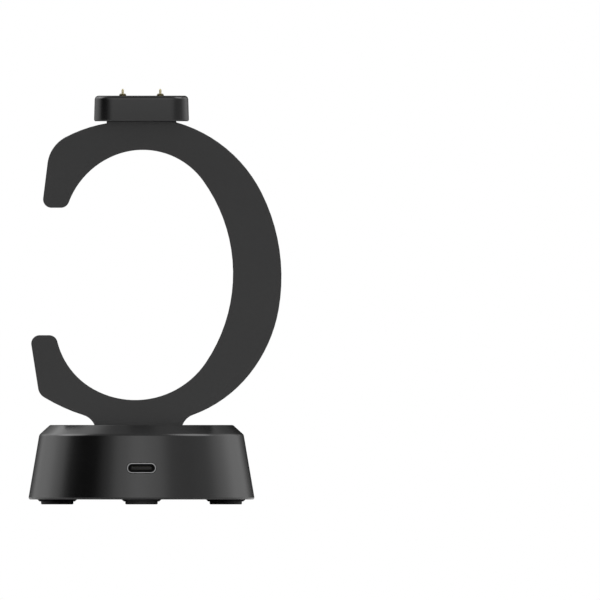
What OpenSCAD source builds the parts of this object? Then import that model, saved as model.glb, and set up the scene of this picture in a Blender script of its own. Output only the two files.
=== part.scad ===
// Smartwatch charging dock: a round weighted base, a C-shaped arm that the
// watch strap goes round, and a head with two spring contacts for the watch.
//
// The origin is on the table, on the axis of the base. +Z is up, -Y is the
// side with the charging port, and the mouth of the arm faces -X.

/* [Base] */
// Diameter of the base at its rim
base_d = 70; // [60:0.5:82]
// Height of the top of the base above the table
base_h = 24.5; // [21:0.5:28]
// Height of the rim above the table
rim_z = 1.5; // [1.5:0.1:2]
// How far the flank leans in on its way up
flank_lean = 3.4; // [2:0.2:4]
// Width of the bevel round the top
bevel_w = 3.3; // [2.5:0.1:4]
// Height of the bevel round the top
bevel_h = 3; // [2:0.25:3.5]
// Radius of the edges of the base
base_edge_r = 0.5; // [0.3:0.1:0.7]
// Wall of the base
base_wall = 2; // [1.8:0.1:2.4]

/* [Bottom cover and feet] */
// Thickness of the bottom cover
cover_t = 2; // [1.8:0.1:2.4]
// Width of the ledge that the bottom cover rests against
cover_ledge = 0.6; // [0.4:0.1:0.8]
// Distance of the feet's middles inside the rim
foot_inset = 9; // [8:0.25:10]
// Diameter of a rubber foot
foot_d = 10; // [9:0.5:10.5]
// Thickness of a rubber foot
foot_t = 1.7; // [1.5:0.1:1.8]
// Width of the moulded lip round a foot
foot_lip_w = 1.1; // [0.8:0.1:1.3]
// Width of the lower end of the lip
foot_lip_end_w = 0.45; // [0.35:0.05:0.8]
// How far the lip stands below the rim
foot_lip_h = 0.6; // [0.3:0.1:0.9]
// Radius of the edge of a rubber foot
foot_edge_r = 0.3; // [0.2:0.1:0.4]

/* [Weight] */
// Gap between the steel weight and the bosses of the cover's screws
weight_gap = 1.3; // [0.5:0.1:4]
// Thickness of the steel weight
weight_t = 3; // [2:0.25:3.25]
// Distance of the stakes that hold the weight from the axis
stake_x = 12; // [10:0.5:14]
// Diameter of a stake
stake_d = 3; // [2.5:0.1:3.5]
// Height of the melted head of a stake
stake_head_h = 0.7; // [0.5:0.1:0.9]

/* [Charging port] */
// Height of the middle of the port above the table
port_z = 11.2; // [11:0.1:11.8]
// Width of the port's metal shell
port_w = 8.94; // [8.94:0.01:8.95]
// Height of the port's metal shell
port_h = 3.16; // [3.16:0.01:3.26]
// Length of the port's metal shell
port_l = 7.35; // [6.9:0.05:7.6]
// Thickness of the port's metal shell
port_wall = 0.3; // [0.25:0.01:0.32]
// Width of the tongue in the port
tongue_w = 6.69; // [6.6:0.01:6.7]
// Thickness of the tongue in the port
tongue_t = 0.7; // [0.65:0.01:0.75]
// Length of the tongue in the port
tongue_l = 4.45; // [4.3:0.05:4.6]
// Contacts on each face of the tongue
contact_n = 12; // [6:1:12]
// Distance between two contacts
contact_pitch = 0.5; // [0.48:0.01:0.51]
// Length of the moulding at the back of the port
port_block_l = 2; // [1.8:0.1:2.2]

/* [Base circuit board] */
// Width of the base's circuit board
base_board_w = 22; // [21:0.5:23]
// Length of the base's circuit board
base_board_l = 19.5; // [19:0.25:20]
// Thickness of the base's circuit board
base_board_t = 1.2; // [1:0.1:1.3]
// Distance of the board's screws from the middle
board_screw_x = 8.2; // [8:0.1:8.6]
// Width of the socket for the wires
wire_socket_w = 6; // [5:0.25:7]
// Length of the socket for the wires
wire_socket_l = 4.5; // [4:0.25:5]
// Height of the socket for the wires
wire_socket_h = 3; // [2.8:0.1:3.2]

/* [Arm] */
// Thickness of the arm from front to back
arm_t = 12; // [11:0.25:12.5]
// Wall of the arm's tray
arm_wall = 1.8; // [1.6:0.1:2]
// Thickness of the arm's rear cover
arm_cover_t = 1.8; // [1.6:0.1:2]
// Width of the land round the rear cover
arm_land = 1.1; // [0.9:0.1:1.3]
// Height of the head's underside above the base
head_rise = 93.7; // [93.6:0.05:94.2]
// Width of the neck under the head
neck_w = 21.5; // [20.5:0.25:22]
// Width of the foot where it goes into the base
foot_w = 27.2; // [26:0.1:28]
// Distance of the middle of the foot from the axis
foot_x = -0.93; // [-1.2:0.01:-0.6]
// Height of the bottom of the foot, in its well, above the table
foot_bottom = 15; // [14.5:0.1:16]
// Radius of the flares between the foot and the arm
flare_r = 5.4; // [5:0.1:5.8]
// Height above the base at which the lower tip is cut
low_tip_z = 27.7; // [27:0.1:28.4]
// Distance from the axis to the outer edge of the lower tip
low_tip_x = -34.47; // [-35:0.05:-34]
// Lean of the lower tip's outer side, in degrees
low_lean = 8.9; // [8:0.1:10]
// Height above the base at which the upper tip is cut
up_tip_z = 67; // [66.4:0.1:67.6]
// Distance from the axis to the outer edge of the upper tip
up_tip_x = -30.71; // [-31:0.05:-30.3]
// Lean of the upper tip's outer side, in degrees
up_lean = 7.1; // [6.5:0.1:8]
// Radius of the corners of the tips
tip_r = 2.6; // [2.5:0.05:2.8]
// Radius of the corner under the lower tip
low_corner_r = 4; // [3.5:0.1:4.5]
// Radius of the corner above the upper tip
up_corner_r = 10.57; // [10:0.1:11]
// Radius of the shoulder between the neck and the upper tip
shoulder_r = 41.93; // [37:0.01:49]
// Distance below the head at which the shoulder leaves the neck
shoulder_drop = 0.6; // [0.4:0.05:1]
// Slope of the shoulder where it leaves the neck, in degrees
shoulder_slope = 9.5; // [8:0.1:11]

/* [Head] */
// Width of the head at its underside
head_w = 29.3; // [29.3:0.1:31]
// Length of the head at its underside, front to back
head_l = 35.8; // [31:0.1:41]
// Distance of the head's middle from the axis, towards the back
head_y = -0.8; // [-1:0.05:-0.6]
// Height of the head
head_h = 7.9; // [7.8:0.05:8.4]
// Radius of the head's corners in plan
head_corner_r = 6; // [5.5:0.1:6.2]
// How far the head's sides lean in on their way up
head_draft = 0.23; // [0.1:0.01:0.3]
// Radius of the head's top edge
head_edge_r = 1.2; // [1:0.05:1.3]
// Wall of the head
head_wall = 1.8; // [1.6:0.05:1.9]
// Thickness of the head's top at the contacts
head_top_t = 1.6; // [1.5:0.05:1.7]
// Thickness of the plate that closes the head below
head_base_t = 2; // [1.8:0.1:2.1]
// Margin beside the watch pad
pad_side = 2.55; // [2.2:0.05:3]
// Margin in front of the watch pad
pad_front = 7.8; // [7.4:0.1:9]
// Margin behind the watch pad
pad_back = 3.9; // [2.5:0.1:5]
// Thickness of the watch pad
pad_t = 1.1; // [0.9:0.05:1.2]
// Radius of the watch pad's corners
pad_r = 2.3; // [2:0.1:2.5]
// Thickness of the top under the watch pad
pad_floor_t = 1.5; // [1.4:0.05:1.55]
// Groove round the watch pad
pad_groove = 0.25; // [0.2:0.01:0.3]
// Thickness of the head's circuit board
head_board_t = 1; // [0.8:0.1:1.1]

/* [Spring contacts] */
// Distance between the two contacts
pin_pitch = 11.6; // [11.4:0.1:11.8]
// Distance of the contacts behind the head's front edge
pin_inset = 3.8; // [3.6:0.05:4.2]
// Diameter of a contact's plunger
plunger_d = 0.75; // [0.7:0.01:0.8]
// Height of the plunger's tip above the head
plunger_rise = 2.1; // [2:0.05:2.2]
// Diameter of the plunger's shoulder inside the barrel
plunger_shoulder_d = 1.16; // [1.1:0.01:1.2]
// Length of the plunger's shoulder
plunger_shoulder_l = 1.2; // [1.1:0.05:1.3]
// Running clearance of the plunger on each side
plunger_gap = 0.045; // [0.03:0.005:0.06]
// Diameter of the barrel
barrel_d = 1.9; // [1.8:0.02:1.94]
// Diameter of the barrel's collar
collar_d = 2.2; // [2.1:0.02:2.3]
// Height of the barrel's collar above the head
collar_h = 0.65; // [0.55:0.05:0.7]
// Thickness of the spring's wire
spring_wire = 0.14; // [0.12:0.01:0.16]
// Turns of the spring
spring_turns = 5; // [4:1:6]
// Diameter of a magnet
magnet_d = 3.8; // [3.4:0.1:3.9]
// Thickness of a magnet
magnet_t = 2; // [1.8:0.05:2.1]

/* [Wires and screws] */
// Diameter of a wire
wire_d = 1.1; // [1:0.05:1.2]
// Distance of the wires from the inner edge of the arm
wire_inset = 4.5; // [4.3:0.1:4.7]
// Diameter of the thread of the large screws
screw_d = 2.4; // [2.2:0.05:2.6]
// Diameter of the thread of the small screws
small_screw_d = 1.8; // [1.6:0.05:2]
// Clearance between pieces that are put together
fit_gap = 0.12; // [0.08:0.01:0.15]

/* [Hidden] */
$fn = 64;

// Step of the round stretches of an outline, in degrees
arc_step = 4;
// Reach of a cut past the face that it opens
past = 1;
// Play of a screw's thread and head in their holes, and the depth of the
// seats that the small screws' heads lie in
screw_play = 0.3;
screw_seat = 0.8;
// Width and length of a screw's cross recess and diameter of its core, as
// shares of its head and thread
recess_w = 0.14;
recess_l = 0.6;
thread_core = 0.84;

black = [0.2, 0.2, 0.21];
dark = [0.12, 0.12, 0.12];
steel = [0.72, 0.73, 0.75];
gold = [0.83, 0.68, 0.36];
board_green = [0.05, 0.3, 0.17];

// The base, worked out
base_r = base_d / 2;
foot_ring_r = base_r - foot_inset;
flank_top_r = base_r - flank_lean;
flank_top_z = base_h - bevel_h;
top_r = flank_top_r - bevel_w;
base_ceiling = base_h - base_wall;
cover_top = rim_z + cover_t;
lip_z = rim_z - foot_lip_h;
function flank_r(z) = base_r - flank_lean * (z - rim_z) / (flank_top_z - rim_z);
cover_edge_r = flank_r(cover_top) - base_wall + cover_ledge;

// The screws that hold the cover: each head is under a foot
screw_head_d = 2 * screw_d;
screw_head_h = 0.65 * screw_d;
cover_boss_r = screw_head_d / 2 + 1.8;
cover_boss_h = 1.7;
cover_seat_z = foot_t + screw_head_h + fit_gap;
cover_screw_l = 11;
cover_screw_angles = [0, 90, 180];
housing_boss_r = screw_d / 2 + 2.2;
weight_d = 2 * (foot_ring_r - cover_boss_r - weight_gap);
pilot = 0.85;

// Tab of the cover that hooks into the front wall, where the port leaves no
// room for a screw
tab_w = 8;
tab_h = 1.5;
tab_reach = 0.8;

// The arm's socket in the base
socket_wall = 1.8;
socket_floor_t = 2;
foot_depth = base_h - foot_bottom;
socket_floor_z = foot_bottom - socket_floor_t;
arm_screw_x = 8.5;
arm_boss_r = screw_d / 2 + 1.4;
arm_boss_h = foot_depth - 1;
arm_screw_l = socket_floor_t + arm_boss_h - 1.5;
wire_hole_r = 2.4;

// The port and the board behind it
port_face_y = -sqrt(pow(flank_r(port_z), 2) - pow(port_w / 2, 2)) + 0.05;
base_board_z = port_z - port_h / 2 - base_board_t;
base_board_top = base_board_z + base_board_t;
base_board_back = port_face_y + port_l + 16;
base_board_front = base_board_back - base_board_l;
board_screw_y = base_board_back - 3.6;
board_post_r = small_screw_d / 2 + 1.3;
small_head_d = 2 * small_screw_d;
small_head_h = 0.6 * small_screw_d;
board_screw_l = 6;
wire_entry_z = base_board_top + wire_socket_h / 2;

// The runs of arcs that make the arm's outline, in the arm's own plane: x
// from the axis of the base, y up from the base's top. A run has its first
// centre, the radii of its arcs, and the directions at which one arc goes
// over into the next without a corner.
outer_start = [-0.9, 56.8];
outer_radii = [56.4, 39.7, 44.3, 58.1, 42.2];
outer_turns = [281, 321.5, 350, 386.5];
inner_start = [-3.5, 31.2];
inner_radii = [23.1, 26.3, 49, 22.9, 25.1];
inner_turns = [241, 326, 395.8, 467.5];
function dir(a) = [cos(a), sin(a)];
shoulder_c = [-neck_w / 2, head_rise - shoulder_drop] - shoulder_r * dir(90 + shoulder_slope);
function bearing(v) = let (a = atan2(v[1], v[0])) a < 0 ? a + 360 : a;
function run_centres(c, r, t, i = 0) =
    i == len(r) - 1 ? [c]
    : concat([c], run_centres(c + (r[i] - r[i + 1]) * dir(t[i]), r, t, i + 1));
outer_c = run_centres(outer_start, outer_radii, outer_turns);
inner_c = run_centres(inner_start, inner_radii, inner_turns);
last_outer = len(outer_c) - 1;
last_inner = len(inner_c) - 1;

// Centres of the corners, flares and tips, from the curves that they touch
function slide_to(p, u, c, d) =
    let (w = p - c, k = w * u) p + u * (sqrt(k * k - w * w + d * d) - k);
low_tip = [low_tip_x, low_tip_z];
up_tip = [up_tip_x, up_tip_z];
low_in = [cos(low_lean), sin(low_lean)];
up_in = [cos(up_lean), -sin(up_lean)];
low_down = [sin(low_lean), -cos(low_lean)];
up_up = [sin(up_lean), cos(up_lean)];
low_corner_c = slide_to(low_tip + low_corner_r * low_in, low_down,
                        outer_c[0], outer_radii[0] - low_corner_r);
up_corner_c = slide_to(up_tip + up_corner_r * up_in, up_up,
                       shoulder_c, shoulder_r - up_corner_r);
low_tip_c = low_tip + tip_r * low_in + low_down * tip_r * (1 + sin(low_lean)) / cos(low_lean);
up_tip_c = up_tip + tip_r * up_in + up_up * tip_r * (1 + sin(up_lean)) / cos(up_lean);
function left_of(c, r, z) = [c[0] - sqrt(r * r - pow(z - c[1], 2)), z];
low_nose_c = left_of(inner_c[0], inner_radii[0] + tip_r, low_tip_z - tip_r);
up_nose_c = left_of(inner_c[last_inner], inner_radii[last_inner] + tip_r, up_tip_z + tip_r);
// Centre of an arc of radius r through p, at distance d from c, on one side
function through(p, r, c, d, side) =
    let (l = norm(c - p), u = (c - p) / l, k = (r * r - d * d + l * l) / (2 * l))
    p + k * u + side * sqrt(r * r - k * k) * [-u[1], u[0]];
foot_left_x = foot_x - foot_w / 2;
foot_right_x = foot_x + foot_w / 2;
left_flare_c = through([foot_left_x, 0], flare_r, outer_c[0], outer_radii[0] + flare_r, 1);
right_flare_c = through([foot_right_x, 0], flare_r, outer_c[1], outer_radii[1] + flare_r, -1);
left_flare_end = asin(-left_flare_c[1] / flare_r);
right_flare_end = 180 - asin(-right_flare_c[1] / flare_r);

// Points of an arc: with both its ends, without its last point where the next
// piece of the outline starts there, and without either
function arc(c, r, a, b) =
    let (n = max(1, ceil(abs(b - a) / arc_step)))
    [for (i = [0 : n]) c + r * dir(a + (b - a) * i / n)];
function arc_on(c, r, a, b) =
    let (n = max(1, ceil(abs(b - a) / arc_step)))
    [for (i = [0 : n - 1]) c + r * dir(a + (b - a) * i / n)];
function inner_arc(c, r, a, b) =
    let (n = max(1, ceil(abs(b - a) / arc_step)))
    [for (i = [1 : n - 1]) c + r * dir(a + (b - a) * i / n)];
// Points of a run from one direction up to another, its arcs grown by g
function run_points(centres, radii, turns, g, lo, hi) =
    [for (i = [0 : len(centres) - 1])
        let (a = max(lo, i == 0 ? lo : turns[i - 1]),
             b = min(hi, i == len(centres) - 1 ? hi : turns[i]))
        if (b > a) for (p = arc_on(centres[i], radii[i] + g, a, b)) p];
function backwards(p) = [for (i = [len(p) - 1 : -1 : 0]) p[i]];
// Point at distance d from the inner edge, in one direction from its centre
function off_inner(a, d) =
    let (i = len([for (t = inner_turns) if (t < a) t]))
    inner_c[i] + (inner_radii[i] + d) * dir(a);

// Direction at which a side of the neck, moved in by g, meets an arc
function neck_meets(c, r, g, side) = acos((side * (neck_w / 2 - g) - c[0]) / (r - g));

// The arm's outline, moved in by g all round
function arm_outline(g) =
    let (foot_left = bearing(left_flare_c - outer_c[0]),
         foot_right = bearing(right_flare_c - outer_c[1]),
         half_neck = neck_w / 2 - g,
         neck_right = neck_meets(outer_c[last_outer], outer_radii[last_outer], g, 1),
         neck_left = neck_meets(shoulder_c, shoulder_r, g, -1),
         up_turn = bearing(up_corner_c - shoulder_c),
         low_turn = bearing(low_corner_c - outer_c[0]),
         in_top = 360 + bearing(up_nose_c - inner_c[last_inner]),
         in_low = bearing(low_nose_c - inner_c[0]),
         inner_points = run_points(inner_c, inner_radii, inner_turns, g, in_low, in_top))
    concat(
        arc_on(low_corner_c, low_corner_r - g, 180 + low_lean, low_turn),
        arc_on(outer_c[0], outer_radii[0] - g, low_turn, foot_left),
        arc(left_flare_c, flare_r + g, foot_left - 180, left_flare_end),
        [[left_flare_c[0] + (flare_r + g) * cos(left_flare_end), g - foot_depth],
         [right_flare_c[0] + (flare_r + g) * cos(right_flare_end), g - foot_depth]],
        arc_on(right_flare_c, flare_r + g, right_flare_end, foot_right - 180),
        run_points(outer_c, outer_radii, outer_turns, -g, foot_right,
                   360 + neck_meets(outer_c[last_outer], outer_radii[last_outer], 0, 1)),
        [outer_c[last_outer] + (outer_radii[last_outer] - g) * dir(neck_right),
         [half_neck, head_rise - g], [-half_neck, head_rise - g],
         shoulder_c + (shoulder_r - g) * dir(neck_left)],
        inner_arc(shoulder_c, shoulder_r - g, neck_meets(shoulder_c, shoulder_r, 0, -1), up_turn),
        arc(up_corner_c, up_corner_r - g, up_turn, 180 - up_lean),
        arc(up_tip_c, tip_r - g, 180 - up_lean, 270),
        arc(up_nose_c, tip_r - g, 270, bearing(inner_c[last_inner] - up_nose_c)),
        backwards(inner_points),
        arc(low_nose_c, tip_r - g, bearing(inner_c[0] - low_nose_c), 90),
        arc(low_tip_c, tip_r - g, 90, 180 + low_lean)
    );

// Pins that join the arm's cover to its tray: the direction from the inner
// edge's centre, and the distance from that edge
post_places = [[222, 5.5], [250, 5.2], [320, 8.4], [345, 10], [372, 10], [396, 9], [482, 5], [500, 5]];
post_r = 0.9;
post_boss_r = 2.1;
post_l = 5.5;

// The head, worked out
head_z = base_h + head_rise;
head_top = head_z + head_h;
head_front = head_y - head_l / 2;
head_back = head_y + head_l / 2;
pad_w = head_w - 2 * pad_side;
pad_l = head_l - pad_front - pad_back;
pad_y = (head_front + pad_front + head_back - pad_back) / 2;
pin_y = head_front + pin_inset;
pad_z = head_top - pad_t;
pad_under_z = pad_z - pad_floor_t;
head_ceiling = head_top - head_top_t;
head_base_top = head_z + head_base_t;
head_board_z = head_base_top + 1;
head_board_top = head_board_z + head_board_t;
head_board_gap = 0.4;
head_board_back = wire_hole_r + 0.6;
head_screw_inset = 3;
head_screw_place = [pad_w / 2 - head_screw_inset, pad_y + pad_l / 2 - head_screw_inset];
head_boss_r = small_screw_d / 2 + 1.3;
neck_screw_x = 7.2;
neck_screw_l = 7;
neck_boss_r = small_screw_d / 2 + 1.4;
neck_boss_z = base_h + inner_c[3][1] + inner_radii[3] + 0.3;
head_peg = [head_w / 2 - head_wall - 2.2, pin_y + 6.9];
magnet_place = [pin_pitch / 2 + 4.2, pin_y + 0.6];

// The spring contacts, worked out
bore_r = plunger_shoulder_d / 2 + plunger_gap;
mouth_r = plunger_d / 2 + plunger_gap;
mouth_z = head_top - 0.3;
bore_floor = head_board_top + 0.2;
shoulder_top = mouth_z - 0.02;
shoulder_bottom = shoulder_top - plunger_shoulder_l;
tail_r = 0.45;
tail_end_z = head_board_z - 0.4;
spring_bottom = bore_floor + 0.02;
spring_top = shoulder_bottom - 0.02;
spring_r = bore_r - spring_wire / 2 - 0.05;

// Route of the wires, from their socket on the base's board to the head's
// board. In the arm they lie along the front wall, at one distance from the
// inner edge.
wire_gap = 0.65;
wire_y = -(arm_t / 2 - arm_wall - wire_d / 2 - 0.35);
wire_low = [
    [foot_x, base_board_back - 0.5, wire_entry_z], [foot_x, base_board_back + 2, wire_entry_z],
    [foot_x, -4.4, wire_entry_z + 0.3], [foot_x, -2.2, wire_entry_z + 1.3],
    [foot_x, -0.6, wire_entry_z + 3], [foot_x, 0, foot_bottom + 1.5],
    [foot_x + 0.1, 0.3 * wire_y, base_h - 2.6],
    [foot_x + 0.9, 0.7 * wire_y, base_h - 0.5], [foot_x + 2.4, wire_y, base_h + 1.3]
];
wire_arm = [
    for (a = [286 : 6 : 430])
        let (p = off_inner(a, wire_inset)) [p[0], wire_y, base_h + p[1]]
];
wire_high = [
    [6.5, wire_y, head_z - 5.1], [4.2, wire_y, head_z - 4.5], [2.2, 0.8 * wire_y, head_z - 3.7],
    [0.9, 0.4 * wire_y, head_z - 2.5], [0.2, 0.1 * wire_y, head_z - 1], [0, 0, head_z + 0.5],
    [0, 0, head_base_top - 0.4], [0, 0, head_board_z]
];
wire_route = concat(wire_low, wire_arm, wire_high);

// A corner of an outline, rounded
function rounded(before, corner, after, r) =
    let (u = (before - corner) / norm(before - corner),
         v = (after - corner) / norm(after - corner),
         half = acos(u * v) / 2,
         back = r / tan(half),
         m = (u + v) / norm(u + v),
         c = corner + m * r / sin(half),
         a = bearing(corner + u * back - c),
         b = bearing(corner + v * back - c),
         turn = b - a > 180 ? b - a - 360 : b - a < -180 ? b - a + 360 : b - a)
    [for (i = [0 : 4]) c + r * dir(a + turn * i / 4)];

// A plate that stands on edge, from one distance along Y to another
module upright(y_from, y_to) {
    translate([0, y_to, 0])
        rotate([90, 0, 0])
            linear_extrude(y_to - y_from)
                children();
}

// A rectangle with true round corners
module round_rect(w, l, r) {
    square([w - 2 * r, l], center = true);
    square([w, l - 2 * r], center = true);
    for (x = [-1, 1], y = [-1, 1])
        translate([x * (w / 2 - r), y * (l / 2 - r)])
            circle(r);
}

// A slot with round ends
module slot(w, h) {
    square([w - h, h], center = true);
    for (x = [-1, 1])
        translate([x * (w - h) / 2, 0])
            circle(h / 2);
}

// A screw with a round head and a cross recess: its head's seat is at the
// origin and its thread goes up
module screw(d, head_d, head_h, l) {
    difference() {
        translate([0, 0, -head_h])
            cylinder(d = head_d, h = head_h);
        for (a = [0, 90])
            rotate(a)
                translate([-head_d * recess_l / 2, -head_d * recess_w / 2, -head_h - past])
                    cube([head_d * recess_l, head_d * recess_w, head_h / 2 + past]);
    }
    cylinder(d = d * thread_core, h = l);
}

module at_feet(angles) {
    for (a = angles)
        rotate(a)
            translate([foot_ring_r, 0, 0])
                children();
}

// The shell of the base: flank, bevel and flat top, with the socket for the
// arm, the posts for the board and the bosses for the cover's screws
module base_housing() {
    rim = [base_r, rim_z];
    flank = [flank_top_r, flank_top_z];
    top = [top_r, base_h];
    color(black)
    difference() {
        union() {
            rotate_extrude($fn = 180)
                polygon(concat(
                    [[0, base_ceiling], [top_r - base_wall * 0.4, base_ceiling],
                     [flank_top_r - base_wall, flank_top_z - base_wall * 0.4],
                     [flank_r(cover_top) - base_wall, cover_top],
                     [cover_edge_r, cover_top], [cover_edge_r, rim_z]],
                    rounded([cover_edge_r, rim_z], rim, flank, base_edge_r / 2),
                    rounded(rim, flank, top, base_edge_r),
                    rounded(flank, top, [0, base_h], base_edge_r),
                    [[0, base_h]]
                ));
            // Well round the arm's foot
            translate([foot_x, 0, (socket_floor_z + base_ceiling + past / 2) / 2])
                cube([foot_w + 2 * (fit_gap + socket_wall), arm_t + 2 * (fit_gap + socket_wall),
                      base_ceiling + past / 2 - socket_floor_z], center = true);
            // Bosses for the cover's screws
            at_feet(cover_screw_angles)
                translate([0, 0, cover_top + cover_boss_h + fit_gap])
                    cylinder(r = housing_boss_r,
                             h = base_ceiling + base_wall * 0.15 - cover_top - cover_boss_h - fit_gap);
            // Posts for the circuit board
            for (x = [-board_screw_x, board_screw_x])
                translate([x, board_screw_y, base_board_top])
                    cylinder(r = board_post_r, h = base_ceiling + past / 2 - base_board_top);
        }
        // Opening for the arm's foot
        translate([foot_x, 0, foot_bottom + foot_depth / 2 + past / 2])
            cube([foot_w + 2 * fit_gap, arm_t + 2 * fit_gap, foot_depth + past], center = true);
        // Holes in the well's floor for the arm's screws and the wires
        for (x = [-arm_screw_x, arm_screw_x])
            translate([foot_x + x, 0, socket_floor_z - past])
                cylinder(d = screw_d + screw_play, h = socket_floor_t + 2 * past);
        translate([foot_x, 0, socket_floor_z - past])
            cylinder(r = wire_hole_r, h = socket_floor_t + 2 * past);
        // Pilot holes
        at_feet(cover_screw_angles)
            translate([0, 0, cover_top])
                cylinder(d = screw_d * pilot, h = cover_screw_l);
        for (x = [-board_screw_x, board_screw_x])
            translate([x, board_screw_y, base_board_top - past])
                cylinder(d = small_screw_d * pilot, h = board_screw_l + past);
        // Opening for the port
        translate([0, 0, port_z])
            upright(-base_r - past, 2.6 * base_wall - base_r)
                slot(port_w + 2 * fit_gap, port_h + 2 * fit_gap);
        // Recess for the cover's tab
        translate([-tab_w / 2 - fit_gap, -cover_edge_r - tab_reach, cover_top - fit_gap])
            cube([tab_w + 2 * fit_gap, 4, tab_h + 2 * fit_gap]);
    }
}

// The plate under the base, with a lip for each foot and stakes for the weight
module bottom_cover() {
    all_feet = [0, 90, 180, 270];
    color(black)
    difference() {
        union() {
            translate([0, 0, rim_z])
                cylinder(r = cover_edge_r - fit_gap, h = cover_t, $fn = 180);
            at_feet(all_feet)
                rotate_extrude()
                    polygon([[0, lip_z], [foot_d / 2 + foot_lip_end_w, lip_z],
                             [foot_d / 2 + foot_lip_w, rim_z],
                             [foot_d / 2 + foot_lip_w, rim_z + cover_t / 2], [0, rim_z + cover_t / 2]]);
            at_feet(cover_screw_angles)
                translate([0, 0, rim_z + cover_t / 2])
                    cylinder(r = cover_boss_r, h = cover_t / 2 + cover_boss_h);
            translate([-tab_w / 2, -cover_edge_r - tab_reach + fit_gap, cover_top - fit_gap / 2])
                cube([tab_w, 3, tab_h]);
            for (x = [-stake_x, stake_x]) {
                translate([x, 0, cover_top - past])
                    cylinder(d = stake_d, h = weight_t + past + stake_head_h / 2);
                translate([x, 0, cover_top + weight_t])
                    cylinder(d = stake_d * 1.7, h = stake_head_h);
            }
        }
        at_feet(all_feet)
            translate([0, 0, lip_z - past])
                cylinder(d = foot_d + 2 * fit_gap, h = foot_t - lip_z + past);
        at_feet(cover_screw_angles) {
            translate([0, 0, foot_t - past / 2])
                cylinder(d = screw_head_d + screw_play, h = cover_seat_z - foot_t + past / 2);
            cylinder(d = screw_d + screw_play, h = cover_top + cover_boss_h + past);
        }
    }
}

module rubber_foot(a) {
    r = foot_d / 2;
    color(dark)
    rotate(a)
        translate([foot_ring_r, 0, 0])
            rotate_extrude()
                polygon(concat(
                    [[0, foot_t], [0, 0]],
                    rounded([0, 0], [r, 0], [r, foot_t], foot_edge_r),
                    [[r, foot_t]]
                ));
}

module cover_screws() {
    color(steel)
    at_feet(cover_screw_angles)
        translate([0, 0, cover_seat_z])
            screw(screw_d, screw_head_d, screw_head_h, cover_screw_l + cover_top - cover_seat_z - 1);
}

// The steel disc that keeps the dock from tipping, held by two stakes
module steel_weight() {
    color(steel)
    translate([0, 0, cover_top])
        difference() {
            cylinder(d = weight_d, h = weight_t, $fn = 120);
            for (x = [-stake_x, stake_x])
                translate([x, 0, -past])
                    cylinder(d = stake_d + 2 * fit_gap, h = weight_t + 2 * past);
        }
}

module base_board() {
    color(board_green)
    difference() {
        translate([-base_board_w / 2, base_board_front, base_board_z])
            cube([base_board_w, base_board_l, base_board_t]);
        for (x = [-board_screw_x, board_screw_x])
            translate([x, board_screw_y, base_board_z - past])
                cylinder(d = small_screw_d + screw_play, h = base_board_t + 2 * past);
    }
}

// Regulator, coil and capacitors: place on the board, then width, length, height
board_chips = [[-5.5, 6, 3.8, 3, 1.2], [5.2, 5.6, 3.2, 3.2, 1.6], [0, 6.6, 1.6, 2.4, 0.9],
               [-8.6, 8.4, 1.2, 2, 0.8], [8.8, 8.4, 1.2, 2, 0.8]];
module board_parts() {
    color(dark)
    for (c = board_chips)
        translate([c[0] - c[2] / 2, base_board_front + c[1] - c[3] / 2, base_board_top])
            cube([c[2], c[3], c[4]]);
}

module board_screws() {
    color(steel)
    for (x = [-board_screw_x, board_screw_x])
        translate([x, board_screw_y, base_board_z])
            screw(small_screw_d, small_head_d, small_head_h, board_screw_l);
}

module wire_socket() {
    color([0.9, 0.88, 0.8])
    difference() {
        translate([foot_x - wire_socket_w / 2, base_board_back - wire_socket_l, base_board_top])
            cube([wire_socket_w, wire_socket_l, wire_socket_h]);
        for (s = [-1, 1])
            translate([foot_x + s * wire_gap, base_board_back + past, wire_entry_z])
                rotate([90, 0, 0])
                    cylinder(d = wire_d + 0.1, h = 0.5 + past);
    }
}

// Metal shell of the charging port
module port_shell() {
    color(steel)
    translate([0, 0, port_z])
        difference() {
            upright(port_face_y, port_face_y + port_l)
                slot(port_w, port_h);
            upright(port_face_y - past, port_face_y + port_l + past)
                slot(port_w - 2 * port_wall, port_h - 2 * port_wall);
        }
}

// The moulding that fills the back of the shell and carries the tongue
module port_tongue() {
    color(dark)
    translate([0, 0, port_z]) {
        upright(port_face_y + port_l - port_block_l, port_face_y + port_l)
            slot(port_w - 2 * port_wall - 0.04, port_h - 2 * port_wall - 0.04);
        translate([0, port_face_y + port_l - port_block_l - tongue_l / 2 + past / 2, 0])
            cube([tongue_w, tongue_l + past, tongue_t], center = true);
    }
}

module port_contacts() {
    contact_w = 0.25;
    contact_l = tongue_l - 1;
    contact_h = 0.06;
    color(gold)
    for (i = [0 : contact_n - 1], s = [-1, 1])
        translate([(i - (contact_n - 1) / 2) * contact_pitch,
                   port_face_y + port_l - port_block_l - contact_l / 2 - 0.1,
                   port_z + s * (tongue_t + contact_h) / 2])
            cube([contact_w, contact_l, contact_h], center = true);
}

// The arm's outline, moved in by g, as a plate from front to back
module arm_slab(g, y_from, y_to) {
    translate([0, 0, base_h])
        upright(y_from, y_to)
            polygon(arm_outline(g));
}

module at_posts() {
    for (p = post_places)
        let (c = off_inner(p[0], p[1]))
            translate([c[0], 0, base_h + c[1]])
                rotate([90, 0, 0])
                    children();
}

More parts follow.
